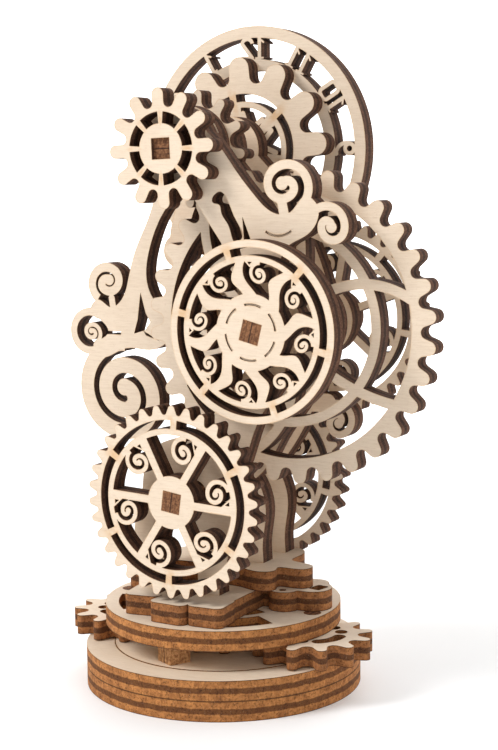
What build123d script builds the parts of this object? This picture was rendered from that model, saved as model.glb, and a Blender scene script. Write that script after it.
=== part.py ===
from build123d import *
import os
from math import acos, atan2, cos, degrees, hypot, radians, sin, sqrt

# Desk clock-shaped gear puzzle of laser-cut sheet. Millimetres, +Z up.
# Origin: centre of the underside of the round base. Gear axles run along Y.
# The medallion side faces -Y and the clock dial reads correctly from +Y.

# --- sheet and fits -------------------------------------------------------
sheet = 3.0                 # thickness of every flat piece
run_gap = 0.1               # gap between a turning piece and what it slides over
journal_gap = 0.08          # radial play of a square axle in its round hole
axle = 3.0                  # side of the square axles
journal_r = axle / sqrt(2) + journal_gap

# --- base and turntable ---------------------------------------------------
base_r = 20.9
rim_width = 4.25            # width of the fixed ring around the turntable
kerf = 0.12                 # laser kerf left open between ring and turntable
table_r = base_r - rim_width - kerf
ring_plate_r = base_r - 3.0
post_r = 2.5                # centre post the turntable spins on
peg = 3.4                   # square pegs between turntable and ring plate
peg_circle_r = table_r - 2.85
pinion_teeth = 12
planet_distance = 15.9      # centre post to each planet pinion
planet_turn = 5.0           # planets sit this many degrees in front of the X axis
planet_pin_r = 1.3
pin_play = 0.06             # radial play of a planet on its pin

z_table = sheet + run_gap
z_planet = z_table + sheet + run_gap
z_ring_plate = z_planet + sheet + run_gap
z_bracket = z_ring_plate + sheet
z_collar = z_bracket + sheet
z_stand = z_collar + sheet   # the frame legs stand on this level
drawn_stand = 18.3          # standing level that the frame outlines below are drawn for
lift = z_stand - drawn_stand

# --- depth of each vertical layer (front face) ----------------------------
y_wheel = -sheet
y_front_frame = y_wheel - 2.9 - sheet
y_top_pinion = y_front_frame - 0.3 - sheet
y_medallion = y_front_frame - 2.1 - sheet
y_lower_wheel = y_front_frame - 3.5 - sheet
y_mid_frame = 0.6
y_rear_frame = y_mid_frame + sheet + 4.3
y_rear_gear = y_rear_frame + sheet + 1.5
y_dial = y_rear_gear + sheet + 0.4

# --- the three axle lines (x, z) ------------------------------------------
top_x = -2.35
top_z = z_stand + 61.9
main_x = 12.75
main_z = z_stand + 36.5
low_x = 0.35
low_z = z_stand + 11.75
top_distance = hypot(main_x - top_x, main_z - top_z)
low_distance = hypot(main_x - low_x, main_z - low_z)
top_direction = degrees(atan2(top_z - main_z, top_x - main_x))
low_direction = degrees(atan2(low_z - main_z, low_x - main_x))

engraving = 0.3             # depth of the engraved lines

# --- gears ------------------------------------------------------------------
wheel_teeth = 32
rear_drive_teeth = 36
low_teeth = 34
wheel_phase = 5.0           # angle of one tooth of the main wheel at rest
top_turn = 2.0              # how far each square axle is turned at rest
main_turn = -14.0
low_turn = -8.0
wheel_tip_r = top_distance * wheel_teeth / (wheel_teeth + pinion_teeth) + 1.6
pinion_tip_r = top_distance * pinion_teeth / (wheel_teeth + pinion_teeth) + 0.5
mesh_floor = 0.22           # tip of one gear to root of its mate
wheel_root_r = top_distance - pinion_tip_r - mesh_floor
pinion_root_r = top_distance - wheel_tip_r - mesh_floor
front_pinion_root_r = 5.9
low_tip_r = low_distance * low_teeth / (low_teeth + rear_drive_teeth) + 0.6
rear_drive_tip_r = low_distance * rear_drive_teeth / (low_teeth + rear_drive_teeth) + 0.6
low_root_r = low_distance - rear_drive_tip_r - 0.18
rear_drive_root_r = low_distance - low_tip_r - 0.18
planet_tip_r = planet_distance * 0.563
planet_root_r = planet_distance - planet_tip_r - 0.25
planet_crest = planet_distance * 0.05
planet_gullet = planet_distance * 0.063
wheel_crest = 1.02          # crest and gullet: round radii of a tooth tip and of the space between
wheel_gullet = 0.9
pinion_crest = 0.7
pinion_gullet = 1.15
fine_crest = 0.42           # teeth of the two small wheels that mesh behind the main wheel
fine_gullet = 0.5
medallion_r = 12.8
star_tip_r = 14.2
star_root_r = 10.3
dial_r = 19.1
dial_rim = 1.8              # width of the outer ring of the dial
dial_post = 1.7             # side of the square posts that carry the dial


# --- flat outline helpers ---------------------------------------------------
def at(radius, angle, cx=0.0, cy=0.0):
    """Point at a radius and an angle in degrees about a centre."""
    return (cx + radius * cos(radians(angle)), cy + radius * sin(radians(angle)))


def disc(radius, cx=0.0, cy=0.0):
    return Pos(cx, cy) * Circle(radius)


def sector(inner, outer, start, stop, cx=0.0, cy=0.0):
    """Piece of a ring between two radii and two angles."""
    middle = (start + stop) / 2
    rim = ThreePointArc(at(outer, start), at(outer, middle), at(outer, stop))
    side = Line(at(outer, stop), at(inner, stop))
    floor = ThreePointArc(at(inner, stop), at(inner, middle), at(inner, start))
    back = Line(at(inner, start), at(outer, start))
    return Pos(cx, cy) * make_face([rim, side, floor, back])


def slot_ring(inner, outer, count, bridge, first):
    """Ring of arc slots; first is the angle of one bridge, bridge is its width."""
    half = degrees(bridge / 2 / ((inner + outer) / 2))
    slots = []
    for k in range(count):
        start = first + 360 / count * k + half
        stop = first + 360 / count * (k + 1) - half
        slots.append(sector(inner, outer, start, stop))
    return slots


def bar(x0, y0, x1, y1, width, rounded=True):
    """Straight strip from one point to another, with round ends if wanted."""
    length = hypot(x1 - x0, y1 - y0)
    turn = degrees(atan2(y1 - y0, x1 - x0))
    strip = Pos((x0 + x1) / 2, (y0 + y1) / 2) * Rot(0, 0, turn) * Rectangle(length, width)
    if rounded:
        strip = strip + disc(width / 2, x0, y0) + disc(width / 2, x1, y1)
    return strip


def arc_band(first, middle, last, width):
    """Strip of even width that follows the arc through three points."""
    ax, ay = first
    bx, by = middle
    cx, cy = last
    cross = 2 * (ax * (by - cy) + bx * (cy - ay) + cx * (ay - by))
    a2 = ax * ax + ay * ay
    b2 = bx * bx + by * by
    c2 = cx * cx + cy * cy
    ox = (a2 * (by - cy) + b2 * (cy - ay) + c2 * (ay - by)) / cross
    oy = (a2 * (cx - bx) + b2 * (ax - cx) + c2 * (bx - ax)) / cross
    radius = hypot(ax - ox, ay - oy)
    start = degrees(atan2(ay - oy, ax - ox))
    span = degrees(atan2(cy - oy, cx - ox)) - start
    span = (span + 180) % 360 - 180
    low = min(start, start + span)
    high = max(start, start + span)
    return sector(radius - width / 2, radius + width / 2, low, high, ox, oy)


def volute(cx, cy, radius, step, width, halves, start, hand, ball):
    """Spiral scroll of half circles; the band loses one step of radius per half turn."""
    centres = []
    x = cx
    y = cy
    angle = start
    for k in range(halves):
        centres.append((x, y, radius - k * step, angle))
        angle = angle + hand * 180
        x = x + step * cos(radians(angle))
        y = y + step * sin(radians(angle))
    edges = []
    for ox, oy, r, a in centres:
        outer = r + width / 2
        edges.append(ThreePointArc(
            at(outer, a, ox, oy), at(outer, a + hand * 90, ox, oy), at(outer, a + hand * 180, ox, oy)))
    ox, oy, r, a = centres[-1]
    end = a + hand * 180
    tip = at(r, end, ox, oy)
    edges.append(ThreePointArc(
        at(r + width / 2, end, ox, oy),
        at(width / 2, end + hand * 90, tip[0], tip[1]),
        at(r - width / 2, end, ox, oy)))
    for ox, oy, r, a in reversed(centres):
        inner = r - width / 2
        edges.append(ThreePointArc(
            at(inner, a + hand * 180, ox, oy), at(inner, a + hand * 90, ox, oy), at(inner, a, ox, oy)))
    ox, oy, r, a = centres[0]
    edges.append(Line(at(r - width / 2, a, ox, oy), at(r + width / 2, a, ox, oy)))
    return make_face(edges) + disc(ball, tip[0], tip[1])


def smooth(points):
    """Closed smooth outline through a few points."""
    return make_face(Spline(*points, periodic=True))


def gear_face(teeth, tip_r, root_r, crest, gullet, phase):
    """Round-toothed gear: a crest circle and a gullet circle joined by their cross tangent."""
    pitch = 360 / teeth
    tip_x = tip_r - crest
    gap_x = (root_r + gullet) * cos(radians(pitch / 2))
    gap_y = (root_r + gullet) * sin(radians(pitch / 2))
    reach = hypot(gap_x - tip_x, gap_y)
    lean = atan2(gap_y, gap_x - tip_x) - acos((crest + gullet) / reach)
    nx = cos(lean)
    ny = sin(lean)
    leave_r = hypot(tip_x + crest * nx, crest * ny)
    leave_a = degrees(atan2(crest * ny, tip_x + crest * nx))
    enter_r = hypot(gap_x - gullet * nx, gap_y - gullet * ny)
    enter_a = degrees(atan2(gap_y - gullet * ny, gap_x - gullet * nx))
    edges = []
    for k in range(teeth):
        a = phase + pitch * k
        edges.append(ThreePointArc(at(leave_r, a - leave_a), at(tip_r, a), at(leave_r, a + leave_a)))
        edges.append(Line(at(leave_r, a + leave_a), at(enter_r, a + enter_a)))
        edges.append(ThreePointArc(
            at(enter_r, a + enter_a), at(root_r, a + pitch / 2), at(enter_r, a + pitch - enter_a)))
        edges.append(Line(at(enter_r, a + pitch - enter_a), at(leave_r, a + pitch - leave_a)))
    return make_face(edges)


def cut_all(face, holes):
    for hole in holes:
        face = face - hole
    return face


def upright(face, front, cx=0.0, cz=0.0, thick=None):
    """Stand a flat outline up in the XZ plane with its front face at y = front."""
    depth = sheet if thick is None else thick
    return Pos(cx, front + depth, cz) * Rot(90, 0, 0) * extrude(face, amount=depth)


def lying(face, z, cx=0.0, cy=0.0, thick=None):
    depth = sheet if thick is None else thick
    return Pos(cx, cy, z) * extrude(face, amount=depth)


def square_hole(turn):
    return Rot(0, 0, turn) * Rectangle(axle, axle)


# --- gears and ornament -----------------------------------------------------
def kidney(radius, width, start, stop):
    """Curved slot with round ends."""
    x0, y0 = at(radius, start)
    x1, y1 = at(radius, stop)
    slot = sector(radius - width / 2, radius + width / 2, start, stop)
    return slot + disc(width / 2, x0, y0) + disc(width / 2, x1, y1)


def front_pinion_face():
    """Twelve-tooth pinion with eight arc slots between hub and rim."""
    face = gear_face(pinion_teeth, pinion_tip_r, front_pinion_root_r, 0.95, 0.8, 3.0)
    slots = slot_ring(front_pinion_root_r - 2.35, front_pinion_root_r - 0.7, 8, 0.75, 0)
    return cut_all(face, slots) - square_hole(top_turn)


def planet_face(phase):
    """Horizontal twelve-tooth pinion with three kidney slots and three round holes."""
    face = gear_face(pinion_teeth, planet_tip_r, planet_root_r, planet_crest, planet_gullet, phase)
    ring_r = planet_root_r * 0.64
    slot_width = planet_root_r * 0.28
    for k in range(3):
        x, y = at(ring_r, phase + 120 * k + 60)
        face = face - kidney(ring_r, slot_width, phase + 120 * k - 28, phase + 120 * k + 28)
        face = face - disc(slot_width / 2, x, y)
    return face - disc(planet_pin_r + pin_play)


def curl_wheel(teeth, tip_r, root_r, crest, gullet, phase, spoke_turn, hole):
    """Fine-toothed wheel: slot ring, six spokes, and one scroll beside each spoke."""
    face = gear_face(teeth, tip_r, root_r, crest, gullet, phase)
    slot_outer = root_r - 0.72
    slot_inner = slot_outer - 1.25
    rim = slot_inner - 0.85
    face = cut_all(face, slot_ring(slot_inner, slot_outer, 6, 1.0, spoke_turn + 30))
    window = disc(rim) - disc(3.85)
    for k in range(6):
        a = spoke_turn + 60 * k
        inner = at(2.0, a)
        outer = at(rim + 0.5, a)
        window = window - bar(inner[0], inner[1], outer[0], outer[1], 1.15, rounded=False)
        c = at(rim - 1.86, a + 17)
        window = window - volute(c[0], c[1], 1.72, 0.62, 0.66, 3, a + 17, 1, 0.46)
        web = Polygon(at(rim + 0.1, a + 3), at(rim + 0.1, a + 12), at(rim - 1.6, a + 4), align=None)
        gap = Polygon(at(rim - 0.3, a + 5), at(rim - 0.3, a + 8.5), at(rim - 1.0, a + 5.5), align=None)
        window = window - (web - gap)
    return face - window - hole


def medallion_face():
    """Sun medallion: slot ring, eight wavy rays, eight scrolls, marked hub."""
    face = disc(medallion_r)
    face = cut_all(face, slot_ring(10.65, 11.75, 6, 1.0, -12))
    window = disc(9.85) - disc(5.4)
    for k in range(8):
        a = 80 + 45 * k
        left = [at(5.0, a + 21), at(6.3, a + 27), at(7.6, a + 32), at(8.9, a + 27.5), at(10.2, a + 22)]
        right = [at(10.2, a + 13), at(8.9, a + 17), at(7.6, a + 16.5), at(6.3, a + 9), at(5.0, a - 5)]
        ray = make_face([
            Spline(*left), Line(left[-1], right[0]), Spline(*right), Line(right[-1], left[0])])
        c = at(8.42, a)
        window = window - ray
        window = window - volute(c[0], c[1], 1.28, 0.46, 0.5, 3, a + 5, 1, 0.37)
        web = Polygon(at(9.95, a + 3), at(9.95, a + 15), at(9.0, a + 10), align=None)
        gap = Polygon(at(9.75, a + 8), at(9.75, a + 12), at(9.35, a + 10.5), align=None)
        window = window - (web - gap)
    return face - window - square_hole(main_turn)


def star_face():
    """Twelve-point wheel in front of the dial: slot ring and a pierced star centre."""
    face = gear_face(12, star_tip_r, star_root_r, 1.72, 1.2, 3.5)
    face = cut_all(face, slot_ring(7.4, 8.6, 6, 1.1, 43))
    for k in range(6):
        a = 43 + 60 * k
        window = sector(3.7, 6.5, a + 9, a + 51)
        rib_a = at(3.0, a + 30)
        rib_b = at(5.6, a + 12)
        rib_c = at(5.6, a + 48)
        window = window - bar(rib_a[0], rib_a[1], rib_b[0], rib_b[1], 0.8)
        window = window - bar(rib_a[0], rib_a[1], rib_c[0], rib_c[1], 0.8)
        face = face - window
    return face - square_hole(top_turn)


def wheel_face():
    """Main wheel: toothed rim, inner ring, hub and six bowed spokes in mirrored pairs."""
    face = gear_face(wheel_teeth, wheel_tip_r, wheel_root_r, wheel_crest, wheel_gullet, wheel_phase)
    rim = wheel_root_r - 1.4
    window = disc(rim) - disc(5.2)
    window = window - (disc(14.75) - disc(13.3))
    for k in range(3):
        a = 120 * k
        window = window - arc_band(at(4.8, a + 41), at(14.0, a + 26.5), at(rim + 0.6, a + 12), 1.5)
        window = window - arc_band(at(4.8, a - 52), at(14.0, a - 39), at(rim + 0.6, a - 32), 1.5)
    return face - window - square_hole(main_turn)


def wheel_phases():
    """Tooth phases that put every meshing pair in step at rest."""
    offset = (top_direction - wheel_phase) % (360 / wheel_teeth)
    gap = top_direction + 180 + offset * wheel_teeth / pinion_teeth
    inner_pinion = gap + 180 / pinion_teeth
    rear_low = 0.3
    offset = (low_direction + 180 - rear_low) % (360 / low_teeth)
    gap = low_direction + offset * low_teeth / rear_drive_teeth
    rear_drive = gap + 180 / rear_drive_teeth
    return inner_pinion, rear_drive, rear_low


# --- numerals ---------------------------------------------------------------
def ring(outer, inner, cx=0.0, cy=0.0):
    return disc(outer, cx, cy) - disc(inner, cx, cy)


def digit_face(digit, height, width):
    """One digit drawn upright about its own middle line, touching the rings above and below."""
    t = height / 2
    w = height * 0.25
    bowl = height * 0.29
    half = width / 2
    if digit == "0":
        outer = RectangleRounded(2 * w + width, height, w)
        return outer - RectangleRounded(2 * w - width, height - 2 * width, w - width)
    if digit == "1":
        stem = bar(0, -t, 0, t, width)
        flag = bar(-w * 0.8, t * 0.5, 0, t - half, half)
        return stem + flag + bar(-w * 0.7, -t + half, w * 0.7, -t + half, half)
    if digit == "2":
        hook = arc_band((-w, t - bowl), (0, t - half), (w, t - bowl), width)
        return hook + bar(w, t - bowl, -w, -t + half, width) + bar(-w, -t + half, w, -t + half, width)
    if digit == "3":
        upper = arc_band((-w, t - half), (w, t / 2), (-w * 0.3, 0), width)
        lower = arc_band((-w * 0.3, 0), (w, -t / 2), (-w, -t + half), width)
        return upper + lower + disc(half, -w, t - half) + disc(half, -w, -t + half)
    if digit == "4":
        slope = bar(w * 0.5, t - half, -w, -t * 0.2, width)
        return slope + bar(-w, -t * 0.2, w * 1.2, -t * 0.2, width) + bar(w * 0.5, -t, w * 0.5, t, width)
    if digit == "5":
        flag = bar(-w * 0.7, t - half, w, t - half, width) + bar(-w * 0.7, t - half, -w * 0.7, t * 0.1, width)
        return flag + arc_band((-w * 0.7, t * 0.1), (w * 1.1, -t * 0.35), (-w, -t + half), width)
    if digit == "7":
        return bar(-w, t - half, w, t - half, width) + bar(w, t - half, -w * 0.3, -t, width)
    if digit == "8":
        return ring(bowl, bowl - width, 0, t - bowl) + ring(bowl, bowl - width, 0, -t + bowl)
    nine = ring(bowl, bowl - width, 0, t - bowl)
    nine = nine + arc_band((bowl - half, t - bowl), (bowl * 0.5, -t * 0.45), (-w * 0.8, -t + half), width)
    nine = nine + disc(half * 1.2, -w * 0.8, -t + half)
    return Rot(0, 0, 180) * nine if digit == "6" else nine


def dial_face():
    """Clock dial: rim, inner ring, and twelve numerals standing between them."""
    rim_inner = dial_r - dial_rim
    ring_outer = rim_inner - 3.25
    face = (disc(dial_r) - disc(rim_inner)) + (disc(ring_outer) - disc(ring_outer - 1.75))
    height = rim_inner - ring_outer + 0.35
    middle = (rim_inner + ring_outer) / 2
    for hour in range(1, 13):
        digits = str(hour)
        spread = 2.15 if len(digits) == 2 else 0.0
        number = None
        for k, digit in enumerate(digits):
            place = (k - (len(digits) - 1) / 2) * spread
            glyph = mirror(Pos(place, 0) * digit_face(digit, height, 0.62), about=Plane.YZ)
            number = glyph if number is None else number + glyph
        face = face + Rot(0, 0, 30 * hour) * Pos(0, middle) * number
    return face


# --- frames -----------------------------------------------------------------
def journals():
    """Round holes for the three square axles."""
    return [disc(journal_r, top_x, top_z), disc(journal_r, main_x, main_z), disc(journal_r, low_x, low_z)]


def foot(x, width, bottom, top):
    return Pos(x, (bottom + top) / 2) * Rectangle(width, top - bottom)


def front_frame_face():
    """Front plate: head, swept arm with two scrolls, neck to the lower axle, two legs."""
    face = smooth([
        (3.0, 82.8), (5.8, 79.9), (8.1, 76.8), (11.0, 73.4), (14.2, 71.0), (16.6, 71.3), (18.8, 73.4),
        (20.6, 72.2), (20.6, 70.0), (18.9, 68.0), (16.2, 66.6), (14.5, 62.0), (13.5, 57.0), (9.5, 57.5),
        (7.2, 63.5), (4.9, 67.6), (2.2, 71.4), (-0.5, 75.5), (-1.5, 80.0)])
    face = face + volute(16.0, 74.5, 3.3, 1.12, 1.3, 3, -40, 1, 0.95)
    face = face + bar(15.1, 72.9, 15.5, 70.9, 1.5)
    face = face + volute(22.0, 69.3, 2.75, 1.0, 1.2, 3, 170, -1, 0.8)
    face = face + smooth([
        (10.0, 50.5), (6.0, 44.5), (1.5, 40.3), (-2.0, 38.4), (-5.6, 37.0), (-8.0, 33.8), (-8.6, 29.8),
        (-9.6, 26.2), (-10.1, 23.6), (-9.6, 20.6), (-8.0, 17.2), (-5.2, 17.2), (-5.2, 21.0), (-4.8, 24.2),
        (-2.0, 25.6), (0.8, 24.2), (1.2, 21.0), (1.2, 17.2), (4.0, 17.2), (5.8, 20.6), (6.3, 24.2),
        (6.6, 28.0), (7.6, 32.0), (9.4, 37.0), (12.0, 43.0), (15.0, 50.5)])
    hook = smooth([
        (4.4, 73.6), (5.6, 74.0), (6.6, 72.8), (7.8, 70.2), (8.7, 67.4), (7.9, 66.9), (6.7, 69.2),
        (5.5, 71.2), (5.2, 72.2), (4.2, 72.5)])
    thorn = Polygon((8.9, 70.6), (10.5, 66.6), (9.2, 66.3), align=None)
    face = Pos(0, lift) * cut_all(face, [hook, thorn])
    face = face + disc(6.1, top_x, top_z) + disc(5.6, main_x, main_z)
    for x, width, y in leg_slots()[:2]:
        face = face + foot(x, width, z_bracket, z_stand)
    return cut_all(face, journals())


def smile_groove():
    """Engraved smile line in the belly of the front plate."""
    groove = arc_band((12.6, 68.5), (14.6, 67.9), (16.6, 68.6), 0.3)
    return upright(groove, y_front_frame, cz=lift, thick=engraving)


def legs_face():
    """Pair of bowed legs below the lower axle, ending in feet for the slots."""
    face = smooth([
        (-4.6, 31.5), (0.4, 34.6), (5.4, 31.5), (7.2, 26.0), (6.6, 20.5), (6.0, 16.5), (2.2, 16.5),
        (2.6, 20.5), (0.4, 25.4), (-1.8, 20.5), (-1.4, 16.5), (-5.2, 16.5), (-6.2, 20.5), (-6.4, 26.0)])
    face = Pos(0, lift) * face
    face = face - Pos(0, z_stand / 2) * Rectangle(2 * base_r, z_stand)
    for x, width, y in leg_slots()[2:4]:
        face = face + foot(x, width, z_bracket, z_stand + 2.0)
    return face


def middle_frame_face():
    """Middle plate: head, hub ring, left arm with three scrolls, and two legs."""
    face = smooth([
        (-4.0, 84.5), (-9.0, 79.5), (-12.6, 70.0), (-15.1, 65.0), (-16.5, 60.5), (-17.8, 57.4),
        (-20.0, 56.2), (-22.2, 57.3), (-23.6, 55.7), (-21.6, 54.0), (-20.4, 52.2), (-21.2, 51.4),
        (-23.2, 50.2), (-22.4, 48.6), (-17.5, 49.75), (-12.0, 49.9), (-8.6, 52.6), (-12.2, 58.0),
        (-12.3, 66.0), (-9.8, 71.0), (-5.0, 75.0), (0.5, 77.5), (1.5, 82.0)])
    face = face + smooth([
        (-12.5, 56.0), (-4.0, 58.5), (6.0, 60.5), (13.0, 60.8), (18.0, 58.0), (17.0, 52.0), (12.0, 49.0),
        (2.0, 50.5), (-8.0, 51.0)])
    face = face + smooth([
        (9.0, 55.0), (15.5, 54.0), (16.0, 48.0), (14.0, 43.0), (10.0, 37.5), (5.2, 31.0), (0.0, 30.0),
        (1.0, 38.0), (6.0, 46.0)])
    face = face + volute(-20.5, 59.7, 2.68, 0.9, 1.4, 3, -125, -1, 0.85)
    face = face + bar(-19.6, 57.6, -19.3, 55.8, 1.1)
    face = face + sector(2.45, 3.65, 55, 285, -23.8, 52.3)
    face = face + volute(-23.3, 51.9, 1.45, 0.46, 0.7, 3, -60, 1, 0.45) + disc(0.8, -22.3, 50.3)
    face = face + volute(-17.55, 43.7, 6.95, 1.72, 2.45, 4, 88, 1, 1.35)
    slit = Polygon(
        (-14.3, 58.6), (-13.4, 55.4), (-12.6, 54.1), (-13.6, 52.8), (-15.6, 52.2), (-14.9, 54.4), align=None)
    thorn = Polygon((-13.9, 52.7), (-13.4, 52.0), (-10.9, 51.2), align=None)
    short_slot = Pos(-19.3, 52.2) * Rectangle(2.6, 0.5)
    face = Pos(0, lift) * cut_all(face, [slit, thorn, short_slot])
    face = face + disc(5.4, top_x, top_z) + disc(6.6, main_x, main_z) + disc(5.0, low_x, low_z)
    face = face + arc_band((top_x, top_z), (top_x + 8.75, top_z - 10.4), (main_x, main_z), 4.4)
    return cut_all(face + legs_face(), journals())


def rear_frame_face():
    """Rear plate: three hubs on a bowed spine, arms to the dial posts, two legs."""
    face = disc(5.0, top_x, top_z) + disc(5.4, main_x, main_z) + disc(5.0, low_x, low_z)
    face = face + arc_band((top_x, top_z), (top_x + 9.85, top_z - 11.2), (main_x, main_z), 5.0)
    face = face + arc_band((main_x, main_z), (main_x - 4.25, main_z - 13.8), (low_x, low_z), 5.4)
    left, bottom, right = post_points()
    face = face + arc_band((top_x, top_z), (top_x - 7.25, top_z - 7.2), left, 3.2)
    face = face + arc_band((top_x, top_z), (top_x - 2.25, top_z - 9.2), bottom, 3.2)
    face = face + arc_band((top_x + 5.35, top_z - 5.2), (top_x + 10.35, top_z - 5.2), right, 3.2)
    for x, z in (left, bottom, right):
        face = face + disc(2.6, x, z)
    scroll = bar(9.5, 42.0, 14.0, 42.2, 2.8) + volute(15.6, 39.8, 2.4, 0.85, 1.1, 3, 110, -1, 0.75)
    face = face + Pos(0, lift) * scroll
    return cut_all(face + legs_face(), journals())


def post_points():
    """Dial posts on the middle of the dial rim; two of them stand just clear of the rear drive wheel."""
    ring_r = dial_r - dial_rim / 2
    clear_r = rear_drive_tip_r + 2.0
    spread = degrees(acos(
        (ring_r * ring_r + top_distance * top_distance - clear_r * clear_r) / (2 * ring_r * top_distance)))
    to_main = top_direction - 180
    return [at(ring_r, a, top_x, top_z) for a in (to_main - spread - 31, to_main - spread, to_main + spread)]


# --- turntable plates ---------------------------------------------------------
def leg_slots():
    """Slots that take the frame feet: (x, width, front y) for each leg."""
    return [
        (-6.6, 3.6, y_front_frame), (2.6, 3.6, y_front_frame),
        (-3.3, 4.0, y_mid_frame), (4.1, 4.0, y_mid_frame),
        (-3.3, 4.0, y_rear_frame), (4.1, 4.0, y_rear_frame)]


def slot_faces():
    return [Pos(x, y + sheet / 2) * Rectangle(width, sheet) for x, width, y in leg_slots()]


def lobe(x, y, length, width, turn=0.0, corner=1.1):
    return Pos(x, y) * Rot(0, 0, turn) * RectangleRounded(length, width, corner)


def bracket_face():
    """Plate of joined lobes on the ring plate; the frame feet plug into it."""
    front_y = y_front_frame + sheet / 2
    back_y = y_rear_frame + sheet + 2.2
    outline = lobe(-0.4, front_y - 5.9, 6.0, 5.6, -3) + lobe(5.2, front_y - 5.3, 5.6, 5.4, 3)
    outline = outline + lobe(-6.6, front_y - 3.2, 5.6, 6.4, 8) + lobe(-0.2, front_y - 0.6, 15.6, 8.4, 0, 1.8)
    outline = outline + lobe(0.0, (front_y + back_y) / 2, 15.4, back_y - front_y, 0, 2.4)
    for side in (-1, 1):
        outline = outline + bar(side * 5.0, 1.4, side * 14.4, 1.7, 5.8)
        outline = outline + disc(2.3, side * 11.0, -1.0) + disc(2.2, side * 13.6, 4.0)
    outline = outline & disc(ring_plate_r - 0.15)
    return cut_all(outline, slot_faces() + [lobe(15.4, 1.7, 1.9, 2.6, -12, 0.3), disc(0.55, 11.2, -1.9)])


def collar_face():
    """Lobed collar on the bracket that steadies the middle and rear legs."""
    back = y_rear_frame + sheet
    face = smooth([
        (-9.0, -4.0), (-5.0, -3.2), (0.0, -3.0), (5.0, -3.2), (8.8, -4.0), (10.2, -2.4), (9.8, -0.6),
        (12.0, -0.3), (14.0, 0.4), (14.2, 2.2), (12.0, 3.4), (9.6, 4.4), (9.4, 7.0), (8.6, back - 0.3),
        (5.0, back + 1.3), (0.0, back + 1.5), (-5.0, back + 1.3), (-8.6, back - 0.3), (-9.4, 7.0),
        (-9.6, 4.4), (-12.0, 3.4), (-14.2, 2.2), (-14.0, 0.4), (-12.0, -0.3), (-9.8, -0.6),
        (-10.2, -2.4)])
    behind = y_rear_gear - 0.4
    face = face - Pos(0, behind + base_r) * Rectangle(2 * base_r, 2 * base_r)
    return cut_all(face, slot_faces()[2:])


def ring_plate_face():
    """Round plate above the planets, pierced with crescent windows around the bracket."""
    outer = ring_plate_r - 2.0
    inner = outer - 4.4
    windows = [sector(inner, outer, start, start + 32) for start in (-66, -162, 28, 118)]
    windows.append(sector(8.4, 10.4, -44, -24))
    for x, y in planet_points():
        windows.append(disc(planet_pin_r, x, y))
    return cut_all(disc(ring_plate_r), windows)


def planet_points():
    return [
        (planet_distance * cos(radians(planet_turn)), -planet_distance * sin(radians(planet_turn))),
        (-planet_distance * cos(radians(planet_turn)), -planet_distance * sin(radians(planet_turn)))]


# --- build every piece --------------------------------------------------------
pieces = {}

# fixed base
pieces["base_disc"] = lying(disc(base_r), 0)
pieces["base_ring"] = lying(disc(base_r) - disc(base_r - rim_width), sheet)
pieces["centre_post"] = lying(disc(post_r), sheet, thick=z_planet)
fixed_gear = gear_face(pinion_teeth, planet_tip_r, planet_root_r, planet_crest, planet_gullet, 0.0)
fixed_gear = fixed_gear - disc(post_r)
pieces["centre_gear"] = lying(fixed_gear, z_planet)

# turntable and everything that rides on it
pieces["turntable_disc"] = lying(disc(table_r) - disc(post_r + run_gap), z_table)
peg_height = z_ring_plate - z_table - sheet
for name, angle in (("peg_front", -92.5), ("peg_rear", 87.5)):
    px, py = at(peg_circle_r, angle)
    square = Rot(0, 0, -27) * Rectangle(peg, peg)
    pieces[name] = lying(square, z_table + sheet, px, py, thick=peg_height)
pieces["ring_plate"] = lying(ring_plate_face(), z_ring_plate)
pieces["bracket_plate"] = lying(bracket_face(), z_bracket)
pieces["collar_plate"] = lying(collar_face(), z_collar)
pieces["front_frame"] = upright(front_frame_face(), y_front_frame) - smile_groove()
pieces["middle_frame"] = upright(middle_frame_face(), y_mid_frame)
pieces["rear_frame"] = upright(rear_frame_face(), y_rear_frame)
pieces["head_spacer"] = upright(
    disc(6.3, top_x, top_z) - disc(journal_r + 0.4, top_x, top_z), y_front_frame + sheet, thick=2.6)
post_length = y_dial - y_rear_frame - sheet
for name, point in zip(("dial_post_left", "dial_post_bottom", "dial_post_right"), post_points()):
    post = Pos(point[0], point[1]) * Rectangle(dial_post, dial_post)
    pieces[name] = upright(post, y_rear_frame + sheet, thick=post_length)
pieces["clock_dial"] = upright(dial_face(), y_dial, top_x, top_z)

# planet pinions on their pins
for name, (px, py), direction in zip(("right", "left"), planet_points(), (-planet_turn, 180 + planet_turn)):
    offset = direction % (360 / pinion_teeth)
    phase = direction + 180 + offset + 180 / pinion_teeth
    pieces["planet_" + name] = lying(planet_face(phase), z_planet, px, py)
    pin_height = z_ring_plate + sheet - z_planet
    pieces["planet_pin_" + name] = lying(disc(planet_pin_r, px, py), z_planet, thick=pin_height)

# main arbor
inner_phase, drive_phase, rear_phase = wheel_phases()
pieces["sun_medallion"] = upright(medallion_face(), y_medallion, main_x, main_z)
for k in range(6):
    dash = sector(3.75, 4.05, 60 * k + 5, 60 * k + 43)
    pieces["sun_medallion"] = pieces["sun_medallion"] - upright(dash, y_medallion, main_x, main_z, engraving)
pieces["main_wheel"] = upright(wheel_face(), y_wheel, main_x, main_z)
drive_face = curl_wheel(
    rear_drive_teeth, rear_drive_tip_r, rear_drive_root_r, fine_crest, fine_gullet, drive_phase, 20,
    square_hole(main_turn))
pieces["rear_drive_wheel"] = upright(drive_face, y_rear_gear, main_x, main_z)
main_length = y_rear_gear + sheet - y_medallion
pieces["main_axle"] = upright(square_hole(main_turn), y_medallion, main_x, main_z, thick=main_length)

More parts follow.
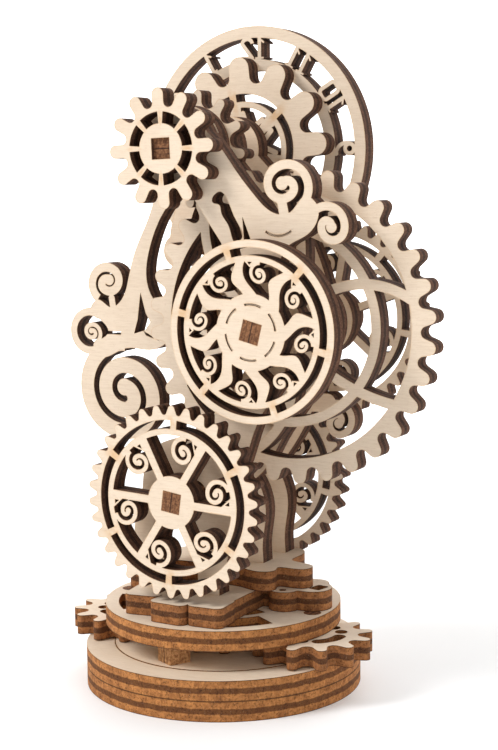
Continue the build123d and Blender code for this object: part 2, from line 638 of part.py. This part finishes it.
# top arbor
pieces["top_pinion_front"] = upright(front_pinion_face(), y_top_pinion, top_x, top_z)
inner_face = gear_face(pinion_teeth, pinion_tip_r, pinion_root_r, pinion_crest, pinion_gullet, inner_phase)
pieces["top_pinion_inner"] = upright(inner_face - square_hole(top_turn), y_wheel, top_x, top_z)
pieces["star_wheel"] = upright(star_face(), y_rear_gear, top_x, top_z)
top_length = y_dial + sheet - y_top_pinion - 0.6
pieces["top_axle"] = upright(square_hole(top_turn), y_top_pinion + 0.6, top_x, top_z, thick=top_length)

# lower arbor
low_face = curl_wheel(low_teeth, low_tip_r, low_root_r, 0.54, 0.42, 4.1, -3, square_hole(low_turn))
pieces["lower_wheel_front"] = upright(low_face, y_lower_wheel, low_x, low_z)
back_face = curl_wheel(
    low_teeth, low_tip_r, low_root_r, fine_crest, fine_gullet, rear_phase, 17, square_hole(low_turn))
pieces["lower_wheel_rear"] = upright(back_face, y_rear_gear, low_x, low_z)
low_length = y_rear_gear + sheet - y_lower_wheel
pieces["lower_axle"] = upright(square_hole(low_turn), y_lower_wheel, low_x, low_z, thick=low_length)

os.makedirs("parts", exist_ok=True)
for name, solid in pieces.items():
    export_step(solid, "parts/" + name + ".step")
print(len(pieces), "pieces written")
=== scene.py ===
# %% [markdown]
# # A laser-cut gear clock, dressed in plywood
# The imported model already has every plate, wheel and axle in its place. This lesson gives them their
# looks. The whole object is cut from thin birch plywood by a laser, so there are only two surfaces to
# learn: the pale sanded face of the sheet, and the burnt edge where the beam went through.

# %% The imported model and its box
from math import cos, pi, radians, sin

import bpy
import numpy as np
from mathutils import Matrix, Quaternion, Vector


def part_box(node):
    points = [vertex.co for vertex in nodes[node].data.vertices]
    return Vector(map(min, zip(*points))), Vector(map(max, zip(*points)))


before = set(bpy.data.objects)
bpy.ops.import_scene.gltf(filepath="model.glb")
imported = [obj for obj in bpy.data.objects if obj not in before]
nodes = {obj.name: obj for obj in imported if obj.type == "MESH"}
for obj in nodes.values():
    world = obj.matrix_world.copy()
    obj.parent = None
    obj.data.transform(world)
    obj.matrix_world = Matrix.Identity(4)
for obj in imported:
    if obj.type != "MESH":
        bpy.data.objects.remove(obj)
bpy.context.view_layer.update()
print(len(nodes), "pieces of plywood")

# %% [markdown]
# ## Where the sheet lies in each piece
# A plate's thin direction tells which of its surfaces are sheet faces and which are cut edges. Upright
# plates are thin along Y, the base plates along Z. Reading it from each piece's box means that the
# finish follows the piece wherever it stands.

# %% Thin direction and first face of a piece
MM = 0.001
SHEET = 3.0


def sheet_of(name):
    """Index of the axis through the sheet, and where the sheet starts along it, in millimetres."""
    low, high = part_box(name)
    size = [(high[k] - low[k]) / MM for k in range(3)]
    across = min((1, 2), key=lambda k: abs(size[k] - SHEET))
    return across, low[across] / MM


print({name: sheet_of(name) for name in ("main_wheel", "ring_plate")})

# %% [markdown]
# ## Small helpers for shader nodes
# A material is a graph of little sums. Written out node by node it is hard to read, so these helpers
# let the sums be written as ordinary function calls that return the socket to plug in next.

# %% Node helpers


def plug(tree, socket, value):
    """Joins a socket to another, or sets it to a plain number or colour."""
    if isinstance(value, bpy.types.NodeSocket):
        tree.links.new(value, socket)
    else:
        socket.default_value = value


def calc(tree, operation, a, b=0.0, clamp=False):
    """One sum on two numbers."""
    node = tree.nodes.new("ShaderNodeMath")
    node.operation = operation
    node.use_clamp = clamp
    plug(tree, node.inputs[0], a)
    plug(tree, node.inputs[1], b)
    return node.outputs[0]


def vector_calc(tree, operation, a, b):
    """One sum on two vectors; a dot product comes out as a number."""
    node = tree.nodes.new("ShaderNodeVectorMath")
    node.operation = operation
    plug(tree, node.inputs[0], a)
    plug(tree, node.inputs[1], b)
    return node.outputs["Value" if operation == "DOT_PRODUCT" else "Vector"]


def rise(tree, value, low, high):
    """Goes smoothly from 0 at low to 1 at high."""
    node = tree.nodes.new("ShaderNodeMapRange")
    node.interpolation_type = "SMOOTHSTEP"
    plug(tree, node.inputs["Value"], value)
    node.inputs["From Min"].default_value = low
    node.inputs["From Max"].default_value = high
    return node.outputs["Result"]


def blend(tree, share, first, second):
    """Colour between two colours."""
    node = tree.nodes.new("ShaderNodeMix")
    node.data_type = "RGBA"
    plug(tree, node.inputs["Factor"], share)
    plug(tree, node.inputs[6], first)
    plug(tree, node.inputs[7], second)
    return node.outputs[2]


def cloud(tree, place, scale, detail=3.0, roughness=0.55):
    """Cloudy noise, about 0.3 to 0.7 most of the time."""
    node = tree.nodes.new("ShaderNodeTexNoise")
    plug(tree, node.inputs["Vector"], place)
    node.inputs["Scale"].default_value = scale
    node.inputs["Detail"].default_value = detail
    node.inputs["Roughness"].default_value = roughness
    return node.outputs["Fac"]


def in_millimetres(tree, source):
    """The piece's own coordinates, in millimetres."""
    place = vector_calc(tree, "SCALE", source.outputs["Object"], (0.0, 0.0, 0.0))
    place.node.inputs["Scale"].default_value = 1 / MM
    return place


def one_minus(tree, value):
    return calc(tree, "SUBTRACT", 1.0, value)


def rgba(red, green, blue):
    return (red, green, blue, 1.0)


print("helpers ready")

# %% [markdown]
# ## Birch plywood, cut by a laser
# Real birch veneer is cream with faint darker fibres and short pores. The laser browns the edge: each
# sheet shows three veneers, the middle one darker because its fibres run towards the cut, with a pale
# line beside it, soot speckles and faint upright marks of the pulsing beam. Heat also toasts a narrow
# rim of the face.
# The material tells face from edge by the surface normal in the piece's own space, so one graph does
# both, and the rim comes from comparing a rounded normal with the true one.

# %% Face of the sheet
CREAM = rgba(0.83, 0.685, 0.535)
FIBRE = rgba(0.66, 0.505, 0.36)
PORE = rgba(0.50, 0.32, 0.18)
TOAST = rgba(0.66, 0.36, 0.12)
SOOT = rgba(0.020, 0.009, 0.005)
ASH = rgba(0.46, 0.29, 0.19)


def sheet_face(tree, place, across):
    """Cream veneer: long fibres, short pores and slow cloudy staining, stretched along the grain."""
    stretch = [0.22, 0.22, 0.22]
    stretch[2 if across == 1 else 1] = 2.4
    along = vector_calc(tree, "MULTIPLY", place, tuple(stretch))
    fibres = rise(tree, cloud(tree, along, 1.9, 6.0, 0.65), 0.38, 0.72)
    colour = blend(tree, calc(tree, "MULTIPLY", fibres, 0.42), CREAM, FIBRE)
    pores = rise(tree, cloud(tree, along, 5.2, 2.0, 0.5), 0.64, 0.74)
    colour = blend(tree, calc(tree, "MULTIPLY", pores, 0.35), colour, PORE)
    stain = rise(tree, cloud(tree, place, 0.11, 2.0), 0.42, 0.75)
    colour = blend(tree, calc(tree, "MULTIPLY", stain, 0.25), colour, FIBRE)
    dust = rise(tree, cloud(tree, place, 4.5, 2.0, 0.6), 0.60, 0.72)
    colour = blend(tree, calc(tree, "MULTIPLY", dust, 0.16), colour, PORE)
    return colour, fibres


# %% Burnt edge of the sheet


def burnt_edge(tree, place, across, start, light, dark):
    """Three veneers: a dark core with a pale line beside it, dark creases at both faces, soot speckle."""
    axis = [0.0, 0.0, 0.0]
    axis[across] = 1.0
    depth = calc(tree, "SUBTRACT", vector_calc(tree, "DOT_PRODUCT", place, tuple(axis)), start)
    wobble = calc(tree, "MULTIPLY", calc(tree, "SUBTRACT", cloud(tree, place, 0.6), 0.5), 0.45)
    from_middle = calc(tree, "ABSOLUTE", calc(tree, "SUBTRACT", calc(tree, "ADD", depth, wobble), SHEET / 2))
    core = one_minus(tree, rise(tree, from_middle, 0.34, 0.48))
    beside = calc(tree, "ABSOLUTE", calc(tree, "SUBTRACT", from_middle, 0.60))
    pale_line = one_minus(tree, rise(tree, beside, 0.04, 0.14))
    crease = rise(tree, calc(tree, "ABSOLUTE", calc(tree, "SUBTRACT", depth, SHEET / 2)), 1.32, 1.48)
    tone = rise(tree, cloud(tree, place, 0.9, 4.0, 0.6), 0.32, 0.68)
    colour = blend(tree, calc(tree, "MULTIPLY", tone, 0.60), light, dark)
    colour = blend(tree, calc(tree, "MULTIPLY", pale_line, 0.35), colour, light)
    squeeze = [3.6, 3.6, 3.6]
    squeeze[across] = 0.5
    beam = rise(tree, cloud(tree, vector_calc(tree, "MULTIPLY", place, tuple(squeeze)), 1.0, 3.0), 0.42, 0.64)
    colour = blend(tree, calc(tree, "MULTIPLY", beam, 0.22), colour, dark)
    colour = blend(tree, calc(tree, "MULTIPLY", core, 0.78), colour, blend(tree, 0.6, dark, SOOT))
    colour = blend(tree, calc(tree, "MULTIPLY", crease, 0.80), colour, SOOT)
    soot = rise(tree, cloud(tree, place, 3.4, 4.0, 0.72), 0.50, 0.64)
    colour = blend(tree, calc(tree, "MULTIPLY", soot, 0.62), colour, SOOT)
    ash = rise(tree, cloud(tree, place, 5.6, 2.0, 0.6), 0.60, 0.72)
    return blend(tree, calc(tree, "MULTIPLY", ash, 0.34), colour, ASH)


# %% The whole plywood material


def plywood(name, light, dark, toast_at=None):
    """Sheet face where the surface looks along the sheet's thin direction, burnt edge elsewhere."""
    across, start = sheet_of(name)
    material = bpy.data.materials.new("plywood_" + name)
    material.use_nodes = True
    tree = material.node_tree
    shader = tree.nodes["Principled BSDF"]
    source = tree.nodes.new("ShaderNodeTexCoord")
    place = in_millimetres(tree, source)
    axis = [0.0, 0.0, 0.0]
    axis[across] = 1.0
    facing = calc(tree, "ABSOLUTE", vector_calc(tree, "DOT_PRODUCT", source.outputs["Normal"], tuple(axis)))
    on_face = rise(tree, facing, 0.55, 0.85)

    face, fibres = sheet_face(tree, place, across)
    rim = tree.nodes.new("ShaderNodeBevel")
    rim.samples = 4
    rim.inputs["Radius"].default_value = 0.36 * MM
    true = tree.nodes.new("ShaderNodeNewGeometry")
    turned = vector_calc(tree, "DOT_PRODUCT", rim.outputs["Normal"], true.outputs["Normal"])
    near_cut = one_minus(tree, rise(tree, turned, 0.72, 0.995))
    patchy = rise(tree, cloud(tree, place, 0.5, 3.0), 0.25, 0.75)
    browned = calc(tree, "MULTIPLY", near_cut, calc(tree, "ADD", calc(tree, "MULTIPLY", patchy, 0.45), 0.36))
    face = blend(tree, browned, face, TOAST)
    if toast_at:
        face = blend(tree, toast_at(tree, place), face, TOAST)
    edge = burnt_edge(tree, place, across, start, light, dark)
    plug(tree, shader.inputs["Base Color"], blend(tree, on_face, edge, face))
    rough = calc(tree, "SUBTRACT", 0.88, calc(tree, "MULTIPLY", on_face, 0.16))
    plug(tree, shader.inputs["Roughness"], rough)
    shader.inputs["Specular IOR Level"].default_value = 0.25
    bump = tree.nodes.new("ShaderNodeBump")
    bump.inputs["Strength"].default_value = 0.35
    bump.inputs["Distance"].default_value = 0.03 * MM
    plug(tree, bump.inputs["Height"], calc(tree, "ADD", fibres, cloud(tree, place, 3.1, 3.0, 0.7)))
    plug(tree, shader.inputs["Normal"], bump.outputs["Normal"])
    return material


print("plywood finish defined")

# %% [markdown]
# ## Toasted bridges
# Round wheels and the medallion have arc slots with narrow bridges left between them. The beam turns
# round at each bridge, lingers, and toasts the wood yellow. In polar terms the toast is a band at the
# slot's radius, strongest where the cosine of so many times the angle peaks.

# %% Polar toast


def bridge_toast(axle, radius, count, first, width=2.2):
    """Yellow patches at `count` evenly spaced angles from `first`, on a ring of the given radius."""

    def painted(tree, place):
        split = tree.nodes.new("ShaderNodeSeparateXYZ")
        plug(tree, split.inputs[0], place)
        x = calc(tree, "SUBTRACT", split.outputs[0], axle[0])
        z = calc(tree, "SUBTRACT", split.outputs[2], axle[1])
        squares = calc(tree, "ADD", calc(tree, "MULTIPLY", x, x), calc(tree, "MULTIPLY", z, z))
        reach = calc(tree, "SQRT", squares)
        off_ring = calc(tree, "ABSOLUTE", calc(tree, "SUBTRACT", reach, radius))
        band = one_minus(tree, rise(tree, off_ring, 0.2, width))
        angle = calc(tree, "SUBTRACT", calc(tree, "ARCTAN2", z, x), radians(first))
        turn = calc(tree, "MULTIPLY", angle, float(count))
        peak = rise(tree, calc(tree, "COSINE", turn), 0.80, 1.0)
        patch = rise(tree, cloud(tree, place, 0.55, 3.0), 0.30, 0.62)
        return calc(tree, "MULTIPLY", calc(tree, "MULTIPLY", band, peak), calc(tree, "MULTIPLY", patch, 0.55))

    return painted


def axle_of(name):
    """X and Z of an upright piece's centre, in millimetres."""
    low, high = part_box(name)
    return (low[0] + high[0]) / 2 / MM, (low[2] + high[2]) / 2 / MM


toasts = {
    "sun_medallion": bridge_toast(axle_of("main_axle"), 11.2, 6, -12),
    "lower_wheel_front": bridge_toast(axle_of("lower_axle"), 11.3, 6, 27),
    "top_pinion_front": bridge_toast(axle_of("top_axle"), 4.4, 8, 0, 1.6),
    "star_wheel": bridge_toast(axle_of("top_axle"), 7.6, 6, 43, 3.0),
}
print("toasted:", ", ".join(toasts))

# %% [markdown]
# ## Square axles and pegs
# The axles are two sawn strips glued together, so their ends show a dark glue line, and all four sides
# are cut edges, brown from end to end. A rod has no sheet face, so it gets its own simpler finish.

# %% Glued strip finish
STRIP_MIDDLE = SHEET / 4           # from the glue seam to the middle of each strip
ROD_LIGHT = rgba(0.30, 0.135, 0.060)
ROD_DARK = rgba(0.11, 0.045, 0.022)
PALE = rgba(0.62, 0.34, 0.15)
CHARRED = rgba(0.26, 0.11, 0.045)


def glued_strip(name, along, seam, turn, light=ROD_LIGHT, dark=ROD_DARK):
    """Brown speckled rod; its ends carry a dark seam across the middle."""
    low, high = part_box(name)
    middle = [(low[k] + high[k]) / 2 / MM for k in range(3)]
    material = bpy.data.materials.new("strip_" + name)
    material.use_nodes = True
    tree = material.node_tree
    shader = tree.nodes["Principled BSDF"]
    source = tree.nodes.new("ShaderNodeTexCoord")
    place = in_millimetres(tree, source)
    local = vector_calc(tree, "SUBTRACT", place, tuple(middle))
    across = [0.0, 0.0, 0.0]
    side, up = [k for k in range(3) if k != along]
    across[side] = cos(radians(turn))
    across[up] = sin(radians(turn))
    if not seam:
        across[side], across[up] = -across[up], across[side]
    offset = calc(tree, "ABSOLUTE", vector_calc(tree, "DOT_PRODUCT", local, tuple(across)))
    line = one_minus(tree, rise(tree, offset, 0.04, 0.14))
    from_layer = calc(tree, "ABSOLUTE", calc(tree, "SUBTRACT", offset, STRIP_MIDDLE))
    layer = one_minus(tree, rise(tree, from_layer, 0.03, 0.14))
    grain = rise(tree, cloud(tree, place, 2.4, 4.0, 0.65), 0.34, 0.66)
    colour = blend(tree, grain, light, dark)
    colour = blend(tree, calc(tree, "MULTIPLY", layer, 0.45), colour, rgba(0.07, 0.03, 0.015))
    colour = blend(tree, calc(tree, "MULTIPLY", line, 0.9), colour, rgba(0.025, 0.012, 0.008))
    plug(tree, shader.inputs["Base Color"], colour)
    shader.inputs["Roughness"].default_value = 0.82
    shader.inputs["Specular IOR Level"].default_value = 0.25
    bump = tree.nodes.new("ShaderNodeBump")
    bump.inputs["Strength"].default_value = 0.5
    bump.inputs["Distance"].default_value = 0.05 * MM
    plug(tree, bump.inputs["Height"], calc(tree, "SUBTRACT", grain, line))
    plug(tree, shader.inputs["Normal"], bump.outputs["Normal"])
    return material


strips = {
    "main_axle": (1, True, -14), "top_axle": (1, False, 2), "lower_axle": (1, True, -8),
    "peg_front": (2, True, -27, PALE, CHARRED), "peg_rear": (2, True, -27, PALE, CHARRED),
    "centre_post": (2, True, 0),
    "dial_post_left": (1, True, 0), "dial_post_bottom": (1, True, 0), "dial_post_right": (1, True, 0),
    "planet_pin_left": (2, True, 0), "planet_pin_right": (2, True, 0),
}
print(len(strips), "strips and pins")

# %% [markdown]
# ## Which edge is how dark
# The stacked base plates were cut with a quick beam and stay orange-brown. The fine gears and frames,
# with all their small teeth, caught more heat and smoke and are almost chocolate.

# %% Give every piece its finish
BASE_EDGE = (rgba(0.58, 0.245, 0.075), rgba(0.17, 0.055, 0.018))
STAND_EDGE = (rgba(0.44, 0.180, 0.060), rgba(0.11, 0.038, 0.015))
GEAR_EDGE = (rgba(0.155, 0.070, 0.038), rgba(0.050, 0.022, 0.014))
base_plates = ("base_disc", "base_ring", "turntable_disc", "ring_plate", "centre_gear")
stand_plates = ("bracket_plate", "collar_plate", "planet_left", "planet_right")

for name, piece in nodes.items():
    if name in strips:
        finish = glued_strip(name, *strips[name])
    else:
        light, dark = GEAR_EDGE
        if name in base_plates:
            light, dark = BASE_EDGE
        if name in stand_plates:
            light, dark = STAND_EDGE
        finish = plywood(name, light, dark, toasts.get(name))
    for slot in piece.material_slots:
        slot.material = finish
print(len(nodes), "pieces finished")

# %% [markdown]
# ## Studio
# A white sheet of paper sweeps from the table up the wall, so there is no horizon. Its profile is a
# straight run, a quarter circle and a straight rise, carried sideways: a surface of two parameters.
# The paper glows by its own emission, a painted backlight: faint on the floor and rising to full towards the
# back, so the wall is pure white while the floor keeps its shadow.

# %% Paper sweep
# Painted light: emission strength of the paper, low on the floor and full on the wall
FLOOR_GLOW = 0.06
WALL_GLOW = 1.0


def paper_sweep(width, front, back, bend, height):
    """Profile along Y: flat floor, quarter circle of radius bend, upright wall; carried along X."""
    quarter = np.linspace(0, pi / 2, 24)
    y = np.concatenate([[front], back - bend + bend * np.sin(quarter), [back]])
    z = np.concatenate([[0.0], bend - bend * np.cos(quarter), [height]])
    x = np.linspace(-width / 2, width / 2, 9)
    grid_x, grid_y = np.meshgrid(x, y)
    grid_z = np.meshgrid(x, z)[1]
    points = np.stack([grid_x, grid_y, grid_z], axis=-1).reshape(-1, 3)
    rows, columns = len(y), len(x)
    index = np.arange(rows * columns).reshape(rows, columns)
    quads = np.stack([index[:-1, :-1], index[:-1, 1:], index[1:, 1:], index[1:, :-1]], axis=-1)
    mesh = bpy.data.meshes.new("paper_sweep")
    mesh.from_pydata(points.tolist(), [], quads.reshape(-1, 4).tolist())
    mesh.polygons.foreach_set("use_smooth", [True] * len(mesh.polygons))
    return mesh


sweep = bpy.data.objects.new("paper_sweep", paper_sweep(6.0, -2.5, 1.6, 0.6, 2.5))
bpy.context.scene.collection.objects.link(sweep)
paper = bpy.data.materials.new("white_paper")
paper.use_nodes = True
paper_shader = paper.node_tree.nodes["Principled BSDF"]
paper_shader.inputs["Base Color"].default_value = rgba(0.95, 0.95, 0.95)
paper_shader.inputs["Roughness"].default_value = 0.9
paper_source = paper.node_tree.nodes.new("ShaderNodeTexCoord")
paper_split = paper.node_tree.nodes.new("ShaderNodeSeparateXYZ")
plug(paper.node_tree, paper_split.inputs[0], paper_source.outputs["Object"])
# Painted backlight: share of the glow, rising from the floor towards the wall
painted_backlight = rise(paper.node_tree, paper_split.outputs[1], 0.04, 0.45)
rest_of_glow = calc(paper.node_tree, "MULTIPLY", painted_backlight, WALL_GLOW - FLOOR_GLOW)
glow = calc(paper.node_tree, "ADD", FLOOR_GLOW, rest_of_glow)
paper_shader.inputs["Emission Color"].default_value = rgba(1.0, 1.0, 1.0)
plug(paper.node_tree, paper_shader.inputs["Emission Strength"], glow)
sweep.data.materials.append(paper)

# %% [markdown]
# ## Light
# One big soft window from the left and above, a weaker one from the front right to open the shadows,
# and a bright even room. The shadow falls softly to the right of the base.

# %% Soft lights


def soft_light(name, place, aim, size, power):
    """Square area light at a place, turned towards a point."""
    lamp = bpy.data.lights.new(name, "AREA")
    lamp.size = size
    lamp.energy = power
    holder = bpy.data.objects.new(name, lamp)
    holder.location = place
    holder.rotation_mode = "QUATERNION"
    holder.rotation_quaternion = (Vector(aim) - Vector(place)).to_track_quat("-Z", "Y")
    bpy.context.scene.collection.objects.link(holder)


middle = Vector((0.0, 0.0, 0.05))
soft_light("window_left", (-0.42, -0.50, 0.62), middle, 0.32, 5.1)
soft_light("fill_right", (0.60, -0.55, 0.30), middle, 0.60, 1.0)
soft_light("top_glow", (0.0, 0.25, 0.90), middle, 0.80, 3.2)
room = bpy.data.worlds.new("room")
room.use_nodes = True
room.node_tree.nodes["Background"].inputs["Color"].default_value = rgba(1.0, 1.0, 1.0)
room.node_tree.nodes["Background"].inputs["Strength"].default_value = 0.34
bpy.context.scene.world = room
bpy.context.scene.view_settings.view_transform = "Standard"
print("lights set")

# %% [markdown]
# ## Camera
# The camera stands a little to the right of the medallion and just above the table. It
# is placed by its compass angle, height angle and distance from the point it looks at.

# %% Camera
AZIMUTH = 28.52
ELEVATION = 7.25
DISTANCE = 233.45 * MM
LOOK_AT = Vector((4.88, 0.0, 46.87)) * MM
ROLL = -0.6
away = Vector((
    sin(radians(AZIMUTH)) * cos(radians(ELEVATION)),
    -cos(radians(AZIMUTH)) * cos(radians(ELEVATION)),
    sin(radians(ELEVATION))))
lens = bpy.data.cameras.new("product_camera")
lens.lens = 75.4
lens.sensor_width = 36.0
lens.clip_start = 0.01
camera = bpy.data.objects.new("product_camera", lens)
camera.location = LOOK_AT + away * DISTANCE
camera.rotation_mode = "QUATERNION"
camera.rotation_quaternion = (-away).to_track_quat("-Z", "Y") @ Quaternion((0, 0, 1), radians(ROLL))
bpy.context.scene.collection.objects.link(camera)
bpy.context.scene.camera = camera
print("camera at", [round(v, 4) for v in camera.location])
